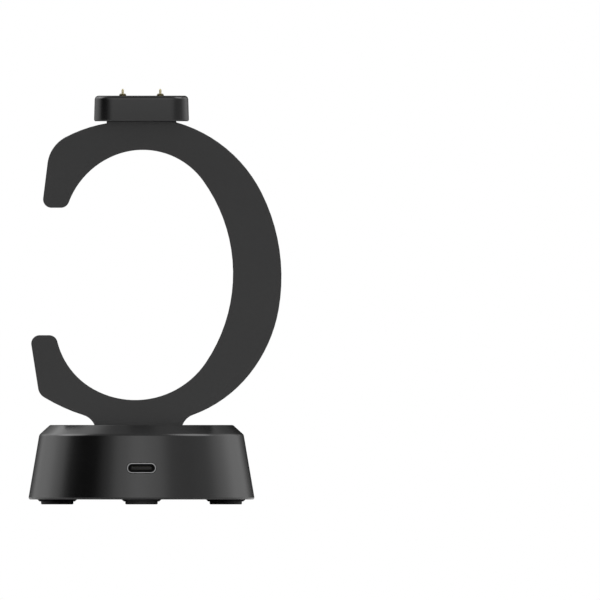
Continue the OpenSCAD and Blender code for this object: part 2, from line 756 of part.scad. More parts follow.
// The front and edge of the arm in one piece, open at the back
module arm_tray() {
    inside = arm_t / 2 - arm_wall;
    color(black)
    difference() {
        union() {
            difference() {
                arm_slab(0, -arm_t / 2, arm_t / 2);
                arm_slab(arm_wall, -inside, arm_t / 2 + past);
                arm_slab(arm_land, arm_t / 2 - arm_cover_t, arm_t / 2 + past);
            }
            // Sockets for the cover's pins
            at_posts()
                translate([0, 0, -1])
                    cylinder(r = post_boss_r, h = inside + 1.5, $fn = 32);
            // Bosses for the screws into the foot and into the neck
            for (x = [-arm_screw_x, arm_screw_x])
                translate([foot_x + x, 0, foot_bottom + arm_wall / 2])
                    cylinder(r = arm_boss_r, h = arm_boss_h);
            for (x = [-neck_screw_x, neck_screw_x])
                translate([x, 0, neck_boss_z])
                    cylinder(r = neck_boss_r, h = head_z - arm_wall / 2 - neck_boss_z);
        }
        at_posts()
            translate([0, 0, -1 - past])
                cylinder(r = post_r + 0.05, h = inside + past, $fn = 32);
        for (x = [-arm_screw_x, arm_screw_x])
            translate([foot_x + x, 0, foot_bottom - past])
                cylinder(d = screw_d * pilot, h = arm_boss_h - 1 + past);
        for (x = [-neck_screw_x, neck_screw_x])
            translate([x, 0, head_z - neck_screw_l])
                cylinder(d = small_screw_d * pilot, h = neck_screw_l + past);
        // Ways for the wires, up from the base and out into the head
        translate([foot_x, 0, foot_bottom - past])
            cylinder(r = wire_hole_r, h = arm_wall + 2 * past);
        translate([0, 0, head_z - arm_wall - past])
            cylinder(r = wire_hole_r, h = arm_wall + 2 * past);
    }
}

// The plate that closes the back of the arm, flush in its land
module arm_cover() {
    color(black) {
        arm_slab(arm_land + fit_gap, arm_t / 2 - arm_cover_t, arm_t / 2);
        at_posts()
            translate([0, 0, arm_cover_t - arm_t / 2 - past / 2])
                cylinder(r = post_r, h = post_l, $fn = 32);
    }
}

module arm_screws() {
    color(steel)
    for (x = [-arm_screw_x, arm_screw_x])
        translate([foot_x + x, 0, socket_floor_z])
            screw(screw_d, screw_head_d, screw_head_h, arm_screw_l);
}

// A round tube swept along a route, its sections kept from twisting
function along(p, i) =
    let (v = p[min(i + 1, len(p) - 1)] - p[max(i - 1, 0)]) v / norm(v);
function sides_of(p, side, i = 0) =
    i == len(p) ? []
    : let (t = along(p, i), flat = side - (side * t) * t, s = flat / norm(flat))
      concat([s], sides_of(p, s, i + 1));
module tube(route, side, shift, r) {
    sides = 8;
    s = sides_of(route, side);
    points = [
        for (i = [0 : len(route) - 1], k = [0 : sides - 1])
            let (a = 360 * k / sides, b = cross(along(route, i), s[i]))
                route[i] + s[i] * shift + r * (cos(a) * s[i] + sin(a) * b)
    ];
    last = (len(route) - 1) * sides;
    polyhedron(
        points = points,
        faces = concat(
            [[for (k = [0 : sides - 1]) k]],
            [for (i = [0 : len(route) - 2], k = [0 : sides - 1])
                [i * sides + k, (i + 1) * sides + k,
                 (i + 1) * sides + (k + 1) % sides, i * sides + (k + 1) % sides]],
            [[for (k = [sides - 1 : -1 : 0]) last + k]]
        )
    );
}

module wire_red() {
    color([0.75, 0.08, 0.06])
    tube(wire_route, [1, 0, 0], -wire_gap, wire_d / 2);
}

module wire_black() {
    color(dark)
    tube(wire_route, [1, 0, 0], wire_gap, wire_d / 2);
}

// Outline of the space inside the head, in plan
module head_inside(gap) {
    translate([0, head_y])
        round_rect(head_w - 2 * head_wall - 2 * gap, head_l - 2 * head_wall - 2 * gap,
                   head_corner_r - head_wall - gap);
}

// One of the head's corners: a drafted, turned post with a rounded top edge
module head_corner() {
    r = head_corner_r;
    rotate_extrude($fn = 48)
        polygon(concat(
            [[0, head_h], [0, 0], [r, 0]],
            rounded([r, 0], [r - head_draft, head_h], [0, head_h], head_edge_r)
        ));
}

// The head's shell: sides and top in one piece, with the recess for the pad
module head_housing() {
    corner_x = head_w / 2 - head_corner_r;
    corner_y = head_l / 2 - head_corner_r;
    color(black)
    difference() {
        translate([0, head_y, head_z])
            hull()
                for (x = [-corner_x, corner_x], y = [-corner_y, corner_y])
                    translate([x, y, 0])
                        head_corner();
        // The space inside is lower under the pad
        translate([0, 0, head_z - past])
            linear_extrude(pad_under_z - head_z + past)
                head_inside(0);
        translate([0, 0, pad_under_z - past])
            linear_extrude(head_ceiling - pad_under_z + past)
                intersection() {
                    head_inside(0);
                    translate([0, pad_y - pad_l / 2 - 1 - head_l / 2])
                        square([head_w, head_l], center = true);
                }
        translate([0, pad_y, pad_z])
            linear_extrude(pad_t + past)
                round_rect(pad_w + 2 * pad_groove, pad_l + 2 * pad_groove, pad_r + pad_groove);
        for (x = [-1, 1]) {
            translate([x * head_screw_place[0], head_screw_place[1], pad_under_z - past])
                cylinder(d = small_screw_d + screw_play, h = pad_floor_t + 2 * past);
            translate([x * head_screw_place[0], head_screw_place[1], pad_z - screw_seat])
                cylinder(d = small_head_d + screw_play, h = screw_seat + past);
            translate([x * pin_pitch / 2, pin_y, head_ceiling - past])
                cylinder(d = barrel_d + 0.1, h = head_top_t + 2 * past);
        }
    }
}

// The plate that closes the head below and is screwed to the neck
module head_plate() {
    color(black)
    difference() {
        union() {
            translate([0, 0, head_z])
                linear_extrude(head_base_t)
                    head_inside(fit_gap);
            for (x = [-1, 1]) {
                translate([x * head_screw_place[0], head_screw_place[1], head_z + head_base_t / 2])
                    cylinder(r = head_boss_r, h = pad_under_z - head_z - head_base_t / 2);
                translate([x * head_peg[0], head_peg[1], head_z + head_base_t / 2])
                    cylinder(r = 1, h = head_board_z - head_z - head_base_t / 2, $fn = 32);
            }
        }
        for (x = [-1, 1]) {
            translate([x * head_screw_place[0], head_screw_place[1], head_z + head_base_t * 0.4])
                cylinder(d = small_screw_d * pilot, h = pad_under_z - head_z);
            translate([x * neck_screw_x, 0, head_z - past])
                cylinder(d = small_screw_d + screw_play, h = head_base_t + 2 * past);
            translate([x * neck_screw_x, 0, head_base_top - screw_seat])
                cylinder(d = small_head_d + screw_play, h = screw_seat + past);
        }
        translate([0, 0, head_z - past])
            cylinder(r = wire_hole_r, h = head_base_t + 2 * past);
    }
}

// The soft pad that the watch lies on
module watch_pad() {
    color(dark)
    translate([0, pad_y, pad_z])
        linear_extrude(pad_t)
            round_rect(pad_w, pad_l, pad_r);
}

module head_screws() {
    color(steel)
    for (x = [-1, 1])
        translate([x * head_screw_place[0], head_screw_place[1], pad_z - screw_seat])
            mirror([0, 0, 1])
                screw(small_screw_d, small_head_d, 0.75, pad_z - head_z - 2);
}

module neck_screws() {
    color(steel)
    for (x = [-1, 1])
        translate([x * neck_screw_x, 0, head_base_top - screw_seat])
            mirror([0, 0, 1])
                screw(small_screw_d, small_head_d, small_head_h, neck_screw_l + 0.6);
}

module head_board() {
    color(board_green)
    difference() {
        translate([0, 0, head_board_z])
            linear_extrude(head_board_t)
                intersection() {
                    head_inside(head_board_gap);
                    translate([0, head_board_back - head_l / 2])
                        square([head_w, head_l], center = true);
                }
        for (x = [-1, 1])
            translate([x * pin_pitch / 2, pin_y, head_board_z - past])
                cylinder(r = tail_r + 0.05, h = head_board_t + 2 * past);
    }
}

module magnet(side) {
    color(steel)
    translate([side * magnet_place[0], magnet_place[1], head_ceiling - magnet_t])
        cylinder(d = magnet_d, h = magnet_t);
}

// Barrel of a spring contact: tail through the board, body, domed collar
module pin_barrel(side) {
    r = barrel_d / 2;
    dome_r = collar_d / 2;
    color(gold)
    translate([side * pin_pitch / 2, pin_y, 0])
        rotate_extrude($fn = 48)
            polygon(concat(
                [[0, tail_end_z], [tail_r, tail_end_z],
                 [tail_r, head_board_top], [r, head_board_top], [r, head_top], [dome_r, head_top]],
                [for (k = [0 : 5]) let (a = 15 * k)
                    [mouth_r + 0.1 + (dome_r - mouth_r - 0.1) * cos(a),
                     head_top + 0.1 + (collar_h - 0.1) * sin(a)]],
                [[mouth_r, head_top + collar_h], [mouth_r, mouth_z], [bore_r, mouth_z],
                 [bore_r, bore_floor], [0, bore_floor]]
            ));
}

// Plunger of a spring contact, with the shoulder that keeps it in its barrel
module pin_plunger(side) {
    r = plunger_d / 2;
    tip = head_top + plunger_rise;
    color(gold)
    translate([side * pin_pitch / 2, pin_y, 0])
        rotate_extrude($fn = 48)
            polygon(concat(
                [[0, shoulder_bottom], [plunger_shoulder_d / 2, shoulder_bottom],
                 [plunger_shoulder_d / 2, shoulder_top], [r, shoulder_top]],
                [for (k = [0 : 6]) let (a = 15 * k) [r * cos(a), tip - r + r * sin(a)]]
            ));
}

// Coil spring under a plunger
module pin_spring(side) {
    per_turn = 10;
    n = spring_turns * per_turn;
    rise = spring_top - spring_bottom - spring_wire;
    route = [
        for (i = [0 : n])
            [side * pin_pitch / 2 + spring_r * cos(360 * i / per_turn),
             pin_y + spring_r * sin(360 * i / per_turn),
             spring_bottom + spring_wire / 2 + rise * i / n]
    ];
    color(steel)
    tube(route, [0, 0, 1], 0, spring_wire / 2);
}

base_housing();
bottom_cover();
rubber_foot(270);  // foot_front
rubber_foot(0);  // foot_right
rubber_foot(90);  // foot_back
rubber_foot(180);  // foot_left
cover_screws();
steel_weight();
base_board();
board_parts();
board_screws();
wire_socket();
port_shell();
port_tongue();
port_contacts();
arm_tray();
arm_cover();
arm_screws();
wire_red();
wire_black();
head_plate();
head_housing();
watch_pad();
head_screws();
neck_screws();
head_board();
magnet(-1);  // magnet_left
magnet(1);  // magnet_right
pin_barrel(-1);  // pin_barrel_left
pin_barrel(1);  // pin_barrel_right
pin_plunger(-1);  // pin_plunger_left
pin_plunger(1);  // pin_plunger_right
pin_spring(-1);  // pin_spring_left
pin_spring(1);  // pin_spring_right
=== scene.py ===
"""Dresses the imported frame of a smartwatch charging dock: moulded black shells, soft pad, feet, port and contacts."""

import logging
import math
import sys
from dataclasses import dataclass, field
from enum import Enum
from functools import cache
from typing import Callable, Iterable, Optional
import bmesh
import bpy
from mathutils import Matrix, Vector


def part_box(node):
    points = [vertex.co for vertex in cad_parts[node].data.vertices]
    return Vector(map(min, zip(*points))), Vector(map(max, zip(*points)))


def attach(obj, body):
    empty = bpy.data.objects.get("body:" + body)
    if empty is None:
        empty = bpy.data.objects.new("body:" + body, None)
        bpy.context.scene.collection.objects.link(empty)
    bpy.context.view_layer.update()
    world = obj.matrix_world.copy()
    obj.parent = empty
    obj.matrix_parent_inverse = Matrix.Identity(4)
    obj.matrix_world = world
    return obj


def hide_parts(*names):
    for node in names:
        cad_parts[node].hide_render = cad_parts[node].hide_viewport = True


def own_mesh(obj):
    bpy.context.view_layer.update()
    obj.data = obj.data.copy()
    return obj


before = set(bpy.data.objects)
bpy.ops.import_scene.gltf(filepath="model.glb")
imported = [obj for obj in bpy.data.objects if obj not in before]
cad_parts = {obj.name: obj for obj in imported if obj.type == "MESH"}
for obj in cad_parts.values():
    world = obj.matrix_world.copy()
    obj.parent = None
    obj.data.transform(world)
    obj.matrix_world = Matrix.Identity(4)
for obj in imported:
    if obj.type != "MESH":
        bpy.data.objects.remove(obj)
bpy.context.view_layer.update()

log = logging.getLogger("dock")
MM = 0.001
DOCK = "dock"
SHARP_ANGLE = math.radians(38)
FLAT_ANGLE = math.radians(0.6)
WELD_DISTANCE = 1e-7


class Side(Enum):
    """Left or right of the dock, as seen from the port's side."""

    LEFT = -1
    RIGHT = 1

    @property
    def word(self) -> str:
        """The side's name in the names of nodes and pieces."""
        return self.name.lower()


class Grain(Enum):
    """Kinds of fine surface: the size of the grain in metres and its height in metres."""

    SPARK_ERODED = (0.00022, 0.0000045)
    SILICONE = (0.00035, 0.000008)
    RUBBER = (0.0005, 0.00002)
    POLISHED = (0.0004, 0.0000015)
    DRAWN = (0.00015, 0.000003)
    ROLLED = (0.0006, 0.000012)

    @property
    def size(self) -> float:
        """Distance from one grain to the next."""
        return self.value[0]

    @property
    def height(self) -> float:
        """Height of the grain."""
        return self.value[1]


def link(tree: bpy.types.NodeTree, source: bpy.types.NodeSocket, target: bpy.types.NodeSocket) -> None:
    """Joins two sockets."""
    tree.links.new(source, target)


def math_node(tree: bpy.types.NodeTree, operation: str, *values: object) -> bpy.types.NodeSocket:
    """Adds a Math node.

    Args:
        tree: The tree that the node is added to.
        operation: The node's operation.
        values: A number or a socket for each of its inputs.

    Returns:
        The node's output.
    """
    node = tree.nodes.new("ShaderNodeMath")
    node.operation = operation
    for socket, value in zip(node.inputs, values):
        if isinstance(value, bpy.types.NodeSocket):
            link(tree, value, socket)
        else:
            socket.default_value = value
    return node.outputs[0]


@dataclass(frozen=True)
class SurfaceGroup:
    """The shader node group that every finish uses: fine grain, faint mottling and uneven gloss."""

    name: str = "fine_surface"
    mottle_size: float = 0.011
    smudge_size: float = 0.024

    def build(self) -> bpy.types.ShaderNodeTree:
        """Makes the group, or returns it if it is there.

        Returns:
            The node tree, with colour, roughness and height as outputs.
        """
        tree = bpy.data.node_groups.get(self.name)
        if tree:
            return tree
        tree = bpy.data.node_groups.new(self.name, "ShaderNodeTree")
        sockets = tree.interface
        for name, kind in (("Dark", "NodeSocketColor"), ("Light", "NodeSocketColor"),
                           ("Grain Scale", "NodeSocketFloat"), ("Roughness", "NodeSocketFloat"),
                           ("Unevenness", "NodeSocketFloat")):
            sockets.new_socket(name=name, in_out="INPUT", socket_type=kind)
        for name, kind in (("Color", "NodeSocketColor"), ("Roughness", "NodeSocketFloat"),
                           ("Height", "NodeSocketFloat")):
            sockets.new_socket(name=name, in_out="OUTPUT", socket_type=kind)
        given = tree.nodes.new("NodeGroupInput")
        result = tree.nodes.new("NodeGroupOutput")
        place = tree.nodes.new("ShaderNodeTexCoord").outputs["Object"]

        mottle = self.noise(tree, place, 1 / self.mottle_size, 4)
        smudge = self.noise(tree, place, 1 / self.smudge_size, 3)
        grain = self.noise(tree, place, given.outputs["Grain Scale"], 2)

        speckle = math_node(tree, "MULTIPLY_ADD", grain, 0.45, math_node(tree, "MULTIPLY", mottle, 0.55))
        spread = tree.nodes.new("ShaderNodeMapRange")
        link(tree, speckle, spread.inputs["Value"])
        spread.inputs["From Min"].default_value = 0.35
        spread.inputs["From Max"].default_value = 0.65
        mix = tree.nodes.new("ShaderNodeMix")
        mix.data_type = "RGBA"
        colour_a, colour_b = (s for s in mix.inputs if s.name in "AB" and s.type == "RGBA")
        link(tree, spread.outputs["Result"], mix.inputs["Factor"])
        link(tree, given.outputs["Dark"], colour_a)
        link(tree, given.outputs["Light"], colour_b)
        link(tree, next(s for s in mix.outputs if s.type == "RGBA"), result.inputs["Color"])

        off_middle = math_node(tree, "SUBTRACT", smudge, 0.5)
        uneven = math_node(tree, "MULTIPLY", off_middle, given.outputs["Unevenness"])
        link(tree, math_node(tree, "ADD", given.outputs["Roughness"], uneven), result.inputs["Roughness"])
        link(tree, grain, result.inputs["Height"])
        return tree

    @staticmethod
    def noise(tree: bpy.types.NodeTree, place: bpy.types.NodeSocket, scale: object,
              detail: float) -> bpy.types.NodeSocket:
        """Adds a noise texture.

        Args:
            tree: The tree that the node is added to.
            place: The coordinates that it reads.
            scale: A number or a socket for its scale.
            detail: Its octaves.

        Returns:
            The noise, about 0.5 on average.
        """
        node = tree.nodes.new("ShaderNodeTexNoise")
        link(tree, place, node.inputs["Vector"])
        node.inputs["Detail"].default_value = detail
        if isinstance(scale, bpy.types.NodeSocket):
            link(tree, scale, node.inputs["Scale"])
        else:
            node.inputs["Scale"].default_value = scale
        return node.outputs["Fac"]


@dataclass(frozen=True)
class Finish:
    """One finish: a colour with a little variation, gloss, and fine grain."""

    name: str
    colour: tuple[float, float, float]
    roughness: float
    grain: Grain
    metallic: float = 0.0
    specular: float = 0.5
    mottle: float = 0.12
    unevenness: float = 0.06
    sheen: float = 0.0

    @cache
    def material(self) -> bpy.types.Material:
        """Makes the material once, and returns it from then on.

        Returns:
            The finish as a material.
        """
        made = bpy.data.materials.new(self.name)
        made.use_nodes = True
        made.diffuse_color = (*self.colour, 1)
        tree = made.node_tree
        shader = tree.nodes["Principled BSDF"]
        surface = tree.nodes.new("ShaderNodeGroup")
        surface.node_tree = SurfaceGroup().build()
        surface.inputs["Dark"].default_value = (*(c * (1 - self.mottle) for c in self.colour), 1)
        surface.inputs["Light"].default_value = (*(min(1, c * (1 + self.mottle)) for c in self.colour), 1)
        surface.inputs["Grain Scale"].default_value = 1 / self.grain.size
        surface.inputs["Roughness"].default_value = self.roughness
        surface.inputs["Unevenness"].default_value = self.unevenness
        bump = tree.nodes.new("ShaderNodeBump")
        bump.inputs["Strength"].default_value = 1.0
        bump.inputs["Distance"].default_value = self.grain.height
        link(tree, surface.outputs["Color"], shader.inputs["Base Color"])
        link(tree, surface.outputs["Roughness"], shader.inputs["Roughness"])
        link(tree, surface.outputs["Height"], bump.inputs["Height"])
        link(tree, bump.outputs["Normal"], shader.inputs["Normal"])
        shader.inputs["Metallic"].default_value = self.metallic
        shader.inputs["Specular IOR Level"].default_value = self.specular
        shader.inputs["Sheen Weight"].default_value = self.sheen
        return made


SATIN_BLACK = Finish("satin_black_plastic", (0.003, 0.003, 0.0031), 0.21, Grain.SPARK_ERODED)
MATT_BLACK = Finish("matt_black_plastic", (0.03, 0.03, 0.0304), 0.5, Grain.SPARK_ERODED)
SOFT_BLACK = Finish("silicone_black", (0.009, 0.009, 0.0092), 0.42, Grain.SILICONE, sheen=0.05)
FOOT_RUBBER = Finish("black_rubber", (0.04, 0.04, 0.041), 0.6, Grain.RUBBER, mottle=0.15)
PORT_METAL = Finish("port_steel", (0.27, 0.27, 0.275), 0.34, Grain.DRAWN, metallic=1.0, mottle=0.04)
INSERT_BLACK = Finish("insert_black", (0.01, 0.01, 0.0105), 0.45, Grain.POLISHED, specular=0.2)
GOLD = Finish("pale_gold", (0.52, 0.465, 0.3), 0.27, Grain.POLISHED, metallic=1.0, mottle=0.04)
# A darker, rougher gold for the contacts inside the port.
DIM_GOLD = Finish("dim_gold", (0.2, 0.185, 0.14), 0.42, Grain.POLISHED, metallic=1.0, mottle=0.04)
# Painted shade: the dark bronze stands for the shade on the steep sides of the contacts' domed collars, whose upward
# faces get the pale gold.
BRONZE_PAINTED_SHADE = Finish("bronze_painted_shade", (0.062, 0.053, 0.028), 0.38, Grain.POLISHED, metallic=1.0, mottle=0.08)
BOARD_GREEN = Finish("board_green", (0.02, 0.13, 0.06), 0.4, Grain.POLISHED, mottle=0.2)
CHIP_BLACK = Finish("chip_epoxy", (0.02, 0.02, 0.02), 0.55, Grain.SPARK_ERODED)
NYLON = Finish("nylon_natural", (0.72, 0.69, 0.58), 0.5, Grain.SPARK_ERODED, mottle=0.05)
ZINC = Finish("zinc_plated", (0.6, 0.6, 0.58), 0.3, Grain.DRAWN, metallic=1.0)
ROLLED_STEEL = Finish("rolled_steel", (0.36, 0.36, 0.37), 0.5, Grain.ROLLED, metallic=1.0, mottle=0.15)
SPRING_WIRE = Finish("spring_wire", (0.62, 0.62, 0.63), 0.28, Grain.DRAWN, metallic=1.0)
NICKEL = Finish("nickel_plated", (0.66, 0.65, 0.62), 0.16, Grain.POLISHED, metallic=1.0, mottle=0.03)
RED_WIRE = Finish("insulation_red", (0.5, 0.02, 0.015), 0.45, Grain.POLISHED)
BLACK_WIRE = Finish("insulation_black", (0.015, 0.015, 0.015), 0.45, Grain.POLISHED)


class Shape:
    """A bmesh with the few operations that the dock's pieces are made with. Sizes are in metres."""

    def __init__(self) -> None:
        """Starts an empty shape."""
        self.bm = bmesh.new()

    def rounded_plate(self, width: float, length: float, radius: float, segments: int = 12) -> bmesh.types.BMFace:
        """Makes a flat rectangle with round corners at the origin.

        Args:
            width: Its size along X.
            length: Its size along Y.
            radius: Radius of its corners.
            segments: Steps of each corner.

        Returns:
            The face.
        """
        made = bmesh.ops.create_grid(self.bm, x_segments=1, y_segments=1, size=0.5)
        bmesh.ops.scale(self.bm, vec=(width, length, 1), verts=made["verts"])
        bmesh.ops.bevel(self.bm, geom=made["verts"], offset=radius, offset_type="OFFSET", segments=segments,
                        profile=0.5, affect="VERTICES", clamp_overlap=True, material=-1)
        bmesh.ops.remove_doubles(self.bm, verts=self.bm.verts, dist=WELD_DISTANCE * 10)
        return self.bm.faces[:][0]

    def spun(self, profile: Iterable[tuple[float, float]], steps: int, closed: bool = True) -> "Shape":
        """Turns a profile of radius and height round the Z axis.

        Args:
            profile: The profile's corners, as radius and height.
            steps: Steps of the full turn.
            closed: Whether the last corner is joined to the first.

        Returns:
            The shape itself.
        """
        corners = [self.bm.verts.new((r, 0, z)) for r, z in profile]
        pairs = list(zip(corners, corners[1:])) + ([(corners[-1], corners[0])] if closed else [])
        edges = [self.bm.edges.new(pair) for pair in pairs]
        bmesh.ops.spin(self.bm, geom=corners + edges, axis=(0, 0, 1), cent=(0, 0, 0), angle=math.tau,
                       steps=steps, use_merge=True, use_duplicate=False)
        bmesh.ops.remove_doubles(self.bm, verts=self.bm.verts, dist=WELD_DISTANCE * 10)
        bmesh.ops.recalc_face_normals(self.bm, faces=self.bm.faces)
        return self

    def extrude(self, face: bmesh.types.BMFace, by: Vector) -> bmesh.types.BMFace:
        """Extrudes a face into a solid.

        Args:
            face: The face.
            by: How far, and which way.

        Returns:
            The face at the far end.
        """
        made = bmesh.ops.extrude_face_region(self.bm, geom=[face], use_keep_orig=True)
        verts = [g for g in made["geom"] if isinstance(g, bmesh.types.BMVert)]
        bmesh.ops.translate(self.bm, vec=by, verts=verts)
        end = next(g for g in made["geom"] if isinstance(g, bmesh.types.BMFace))
        bmesh.ops.recalc_face_normals(self.bm, faces=self.bm.faces)
        return end

    def pocket(self, face: bmesh.types.BMFace, wall: float, by: Vector) -> bmesh.types.BMFace:
        """Sinks a pocket into a face, with a wall left round it.

        Args:
            face: The face.
            wall: Width of the wall.
            by: How deep, and which way.

        Returns:
            The pocket's floor.
        """
        bmesh.ops.inset_region(self.bm, faces=[face], thickness=wall, use_even_offset=True)
        rim = list(face.edges)
        made = bmesh.ops.extrude_edge_only(self.bm, edges=rim)
        verts = [g for g in made["geom"] if isinstance(g, bmesh.types.BMVert)]
        bmesh.ops.translate(self.bm, vec=by, verts=verts)
        loop = [g for g in made["geom"] if isinstance(g, bmesh.types.BMEdge) and g.verts[0] in verts
                and g.verts[1] in verts]
        bmesh.ops.delete(self.bm, geom=[face], context="FACES_ONLY")
        floor = bmesh.ops.contextual_create(self.bm, geom=loop)["faces"][0]
        bmesh.ops.recalc_face_normals(self.bm, faces=self.bm.faces)
        return floor

    def round_edges(self, wanted: Callable[[bmesh.types.BMEdge], bool], radius: float, segments: int = 3) -> None:
        """Rounds the sharp edges that a test picks.

        Args:
            wanted: The test.
            radius: Radius of the rounding.
            segments: Steps of the rounding.
        """
        edges = [e for e in self.bm.edges if len(e.link_faces) == 2
                 and e.calc_face_angle(0) > SHARP_ANGLE and wanted(e)]
        bmesh.ops.bevel(self.bm, geom=edges, offset=radius, offset_type="OFFSET", segments=segments, profile=0.5,
                        affect="EDGES", clamp_overlap=True, material=-1)

    def move(self, x: float, y: float, z: float) -> "Shape":
        """Moves the whole shape and returns it."""
        bmesh.ops.translate(self.bm, vec=(x, y, z), verts=self.bm.verts)
        return self

    def turn(self, angle: float, axis: str) -> "Shape":
        """Turns the whole shape round an axis through the origin and returns it."""
        bmesh.ops.rotate(self.bm, cent=(0, 0, 0), matrix=Matrix.Rotation(angle, 3, axis), verts=self.bm.verts)
        return self

    def coil(self, radius: float, wire: float, turns: float, rise: float, steps: int = 28, sides: int = 8) -> "Shape":
        """Winds a wire upwards round the Z axis, from the height of the wire's middle.

        Args:
            radius: Radius of the wire's middle.
            wire: Radius of the wire.
            turns: Turns of the coil.
            rise: How far it climbs.
            steps: Steps of one turn.
            sides: Sides of the wire.

        Returns:
            The shape itself.
        """
        count = round(turns * steps)
        rings = []
        for k in range(count + 1):
            around = math.tau * k / steps
            out = Vector((math.cos(around), math.sin(around), 0))
            centre = out * radius + Vector((0, 0, rise * k / count))
            rings.append([self.bm.verts.new(centre + out * wire * math.cos(a) + Vector((0, 0, wire * math.sin(a))))
                          for a in (math.tau * n / sides for n in range(sides))])
        for ring, following in zip(rings, rings[1:]):
            for n in range(sides):
                after = (n + 1) % sides
                self.bm.faces.new((ring[n], ring[after], following[after], following[n]))
        for end in (rings[0], rings[-1]):
            self.bm.faces.new(end)
        bmesh.ops.recalc_face_normals(self.bm, faces=self.bm.faces)
        return self

    def mesh(self, name: str) -> bpy.types.Mesh:
        """Writes the shape to a new mesh, smooth but for its sharp edges.

        Args:
            name: The mesh's name.

        Returns:
            The mesh. The shape is used up.
        """
        bmesh.ops.recalc_face_normals(self.bm, faces=self.bm.faces)
        for face in self.bm.faces:
            face.smooth = True
        for edge in self.bm.edges:
            edge.smooth = not (len(edge.link_faces) == 2 and edge.calc_face_angle(0) > SHARP_ANGLE)
        made = bpy.data.meshes.new(name)
        self.bm.to_mesh(made)
        self.bm.free()
        return made

    def cut(self, *cutters: "Shape") -> "Shape":
        """Takes other shapes away from this one.

        Args:
            cutters: The shapes to take away. They are used up.

        Returns:
            The shape that is left.
        """
        body = bpy.data.objects.new("cut_body", self.mesh("cut_body"))
        tools = [bpy.data.objects.new("cutter", c.mesh("cutter")) for c in cutters]
        for obj in [body, *tools]:
            bpy.context.scene.collection.objects.link(obj)
        for tool in tools:
            modifier = body.modifiers.new("cut", "BOOLEAN")
            modifier.operation = "DIFFERENCE"
            modifier.solver = "EXACT"
            modifier.object = tool
        graph = bpy.context.evaluated_depsgraph_get()
        left = Shape()
        left.bm.from_mesh(body.evaluated_get(graph).to_mesh())
        for obj in [body, *tools]:
            data = obj.data
            bpy.data.objects.remove(obj)
            bpy.data.meshes.remove(data)
        bmesh.ops.remove_doubles(left.bm, verts=left.bm.verts, dist=WELD_DISTANCE)
        return left


def cad_shape(node: str) -> Shape:
    """Copies a CAD node's solid, with its flat faces whole again.

    Args:
        node: The node's name.

    Returns:
        The solid as a shape.
    """
    shape = Shape()
    shape.bm.from_mesh(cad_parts[node].data)
    bmesh.ops.remove_doubles(shape.bm, verts=shape.bm.verts, dist=WELD_DISTANCE * 10)
    bmesh.ops.dissolve_limit(shape.bm, angle_limit=FLAT_ANGLE, verts=shape.bm.verts, edges=shape.bm.edges,
                             delimit={"NORMAL"})
    return shape


def show(shape: Shape, name: str, finish: Finish, replaces: Iterable[str], body: str = DOCK,
         more: Iterable[Finish] = ()) -> bpy.types.Object:
    """Makes a piece of a shape, gives it its finish and puts it in its node's place.

    Args:
        shape: The shape, which is used up.
        name: The piece's name.
        finish: Its finish.
        replaces: The CAD nodes that it stands for.
        body: The CAD body that it rides on.
        more: Finishes for faces of material index 1 and up.

    Returns:
        The piece.
    """
    piece = bpy.data.objects.new(name, shape.mesh(name))
    bpy.context.scene.collection.objects.link(piece)
    for each in (finish, *more):
        piece.data.materials.append(each.material())
    weighted = piece.modifiers.new("flat_faces_stay_flat", "WEIGHTED_NORMAL")
    weighted.mode = "FACE_AREA"
    weighted.keep_sharp = True
    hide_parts(*replaces)
    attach(piece, body)
    log.info("piece %s on %s: %d faces", name, body, len(piece.data.polygons))
    return piece


def dress(finish: Finish, slot: str, *nodes: str) -> None:
    """Gives CAD nodes that stay their finish.

    Args:
        finish: The finish.
        slot: Not used.
        nodes: The nodes' names.
    """
    for name in nodes:
        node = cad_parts[name]
        node.data.materials.clear()
        node.data.materials.append(finish.material())
        log.info("node %s is %s", name, finish.name)


def size_of(node: str) -> tuple[Vector, Vector, Vector]:
    """The lowest corner, the highest corner and the middle of a CAD node."""
    low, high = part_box(node)
    return low, high, (low + high) / 2


def slot_shape(width: float, height: float, depth: float, front: float, z: float) -> Shape:
    """Makes a block with round ends that lies along Y.

    Args:
        width: Its size along X.
        height: Its size along Z, and the diameter of its round ends.
        depth: Its size along Y.
        front: Where it starts along Y.
        z: The height of its middle.

    Returns:
        The shape.
    """
    shape = Shape()
    face = shape.rounded_plate(width, height, height / 2 * 0.9999, segments=16)
    shape.extrude(face, Vector((0, 0, -depth)))
    return shape.turn(math.pi / 2, "X").move(0, front, z)


